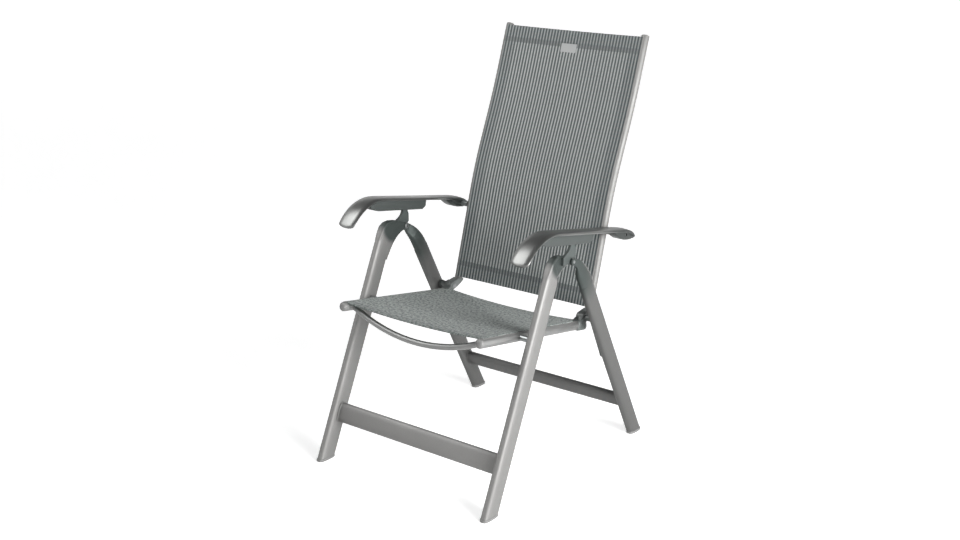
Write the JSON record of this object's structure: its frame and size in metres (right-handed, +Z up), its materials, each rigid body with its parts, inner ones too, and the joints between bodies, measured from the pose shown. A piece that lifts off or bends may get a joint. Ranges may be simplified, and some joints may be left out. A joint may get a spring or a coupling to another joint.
{
  "type": "folding reclining armchair",
  "caption": "High-back garden armchair that folds flat, with a woven fabric seat and back on a tube frame, a hinged reclining back and ratchet armrests.",
  "frame": {"origin": "on the floor, under the middle of the chair's overall width and depth", "axes": "+X to the sitter's left, -Y the way the sitter faces, +Z up"},
  "size_m": [0.6248, 0.8068, 1.1053],
  "materials": {
    "silver_tube": "satin",
    "cast_grey": "satin",
    "arm_silver": "satin",
    "housing_grey": "matt",
    "dark_plastic": "matt",
    "bolt_steel": "brushed",
    "nylon": "matt",
    "back_fabric": "woven, striped lengthways",
    "seat_fabric": "woven, fine mottle"
  },
  "bodies": {
    "front_frame": {"front_leg_left": "silver_tube", "front_leg_right": "silver_tube", "front_foot_left": "dark_plastic", "front_foot_right": "dark_plastic", "front_crossbar": "silver_tube", "front_elbow_left": "cast_grey", "front_elbow_right": "cast_grey", "neck_plate_left": "cast_grey", "neck_plate_right": "cast_grey", "neck_pin_left": "bolt_steel", "neck_pin_right": "bolt_steel", "apex_pin_left": "bolt_steel", "apex_pin_right": "bolt_steel", "seat_bolt_left": "bolt_steel", "seat_bolt_right": "bolt_steel"},
    "rear_frame": {"rear_leg_left": "silver_tube", "rear_leg_right": "silver_tube", "rear_foot_left": "dark_plastic", "rear_foot_right": "dark_plastic", "rear_crossbar": "silver_tube", "rear_shoulder_left": "cast_grey", "rear_shoulder_right": "cast_grey", "link_bolt_left": "bolt_steel", "link_bolt_right": "bolt_steel"},
    "links": {"link_left": "cast_grey", "link_right": "cast_grey"},
    "seat": {"seat_rail_left": "silver_tube", "seat_rail_right": "silver_tube", "seat_cap_left": "cast_grey", "seat_cap_right": "cast_grey", "seat_front_bow": "silver_tube", "seat_rear_bow": "silver_tube", "seat_lug_left": "dark_plastic", "seat_lug_right": "dark_plastic", "seat_sling": "seat_fabric"},
    "hinge_pins": {"hinge_bolt_left": "bolt_steel", "hinge_bolt_right": "bolt_steel", "hinge_spacer_left": "dark_plastic", "hinge_spacer_right": "dark_plastic"},
    "back": {"back_rail_left": "silver_tube", "back_rail_right": "silver_tube", "back_cap_left": "cast_grey", "back_cap_right": "cast_grey", "back_lug_left": "dark_plastic", "back_lug_right": "dark_plastic", "back_lower_bow": "silver_tube", "back_upper_bow": "silver_tube", "back_sling": "back_fabric"},
    "arm_bolts": {"arm_bolt_left": "bolt_steel", "arm_bolt_right": "bolt_steel"},
    "arm_bushes": {"arm_bush_left": "dark_plastic", "arm_bush_right": "dark_plastic"},
    "arm_left": {"armrest_left": "arm_silver", "arm_housing_left": "housing_grey", "arm_rack_left": "nylon"},
    "arm_right": {"armrest_right": "arm_silver", "arm_housing_right": "housing_grey", "arm_rack_right": "nylon"}
  },
  "joints": [
    {"name": "fold", "type": "hinge", "parent": "front_frame", "child": "rear_frame", "pos_m": [0, -0.03949, 0.583], "axis": [-1, 0, 0], "range_deg": [0, 52]},
    {"name": "link_swing", "type": "hinge", "parent": "rear_frame", "child": "links", "pos_m": [0, 0.15456, 0.271], "axis": [-1, 0, 0], "range_deg": [0, 116.14]},
    {"name": "seat_turn", "type": "hinge", "parent": "front_frame", "child": "seat", "pos_m": [0, -0.19034, 0.412], "axis": [-1, 0, 0], "range_deg": [0, 64.69]},
    {"name": "hinge_turn", "type": "hinge", "parent": "seat", "child": "hinge_pins", "pos_m": [0, 0.10013, 0.38468], "axis": [-1, 0, 0], "range_deg": [-49.69, 0]},
    {"name": "recline", "type": "hinge", "parent": "hinge_pins", "child": "back", "pos_m": [0, 0.10013, 0.38468], "axis": [-1, 0, 0], "range_deg": [-13.33, 26.67]},
    {"name": "arm_swing", "type": "hinge", "parent": "back", "child": "arm_bolts", "pos_m": [0, 0.19391, 0.6031], "axis": [-1, 0, 0], "range_deg": [0, 92.6]},
    {"name": "arm_follow", "type": "hinge", "parent": "arm_bolts", "child": "arm_bushes", "pos_m": [0, 0.19391, 0.6031], "axis": [-1, 0, 0], "range_deg": [-19.97, 10.23]},
    {"name": "lift_left", "type": "hinge", "parent": "arm_bushes", "child": "arm_left", "pos_m": [0, 0.19391, 0.6031], "axis": [-1, 0, 0], "range_deg": [0, 12]},
    {"name": "lift_right", "type": "hinge", "parent": "arm_bushes", "child": "arm_right", "pos_m": [0, 0.19391, 0.6031], "axis": [-1, 0, 0], "range_deg": [0, 12]}
  ],
  "couplings": [
    {"joint": "seat_turn", "follows": "fold", "ratio": 1.2344},
    {"joint": "link_swing", "follows": "fold", "ratio": 2.2238},
    {"joint": "hinge_turn", "follows": "fold", "ratio": -0.946},
    {"joint": "arm_swing", "follows": "fold", "ratio": 1.7712},
    {"joint": "arm_follow", "follows": "recline", "ratio": -0.73}
  ]
}
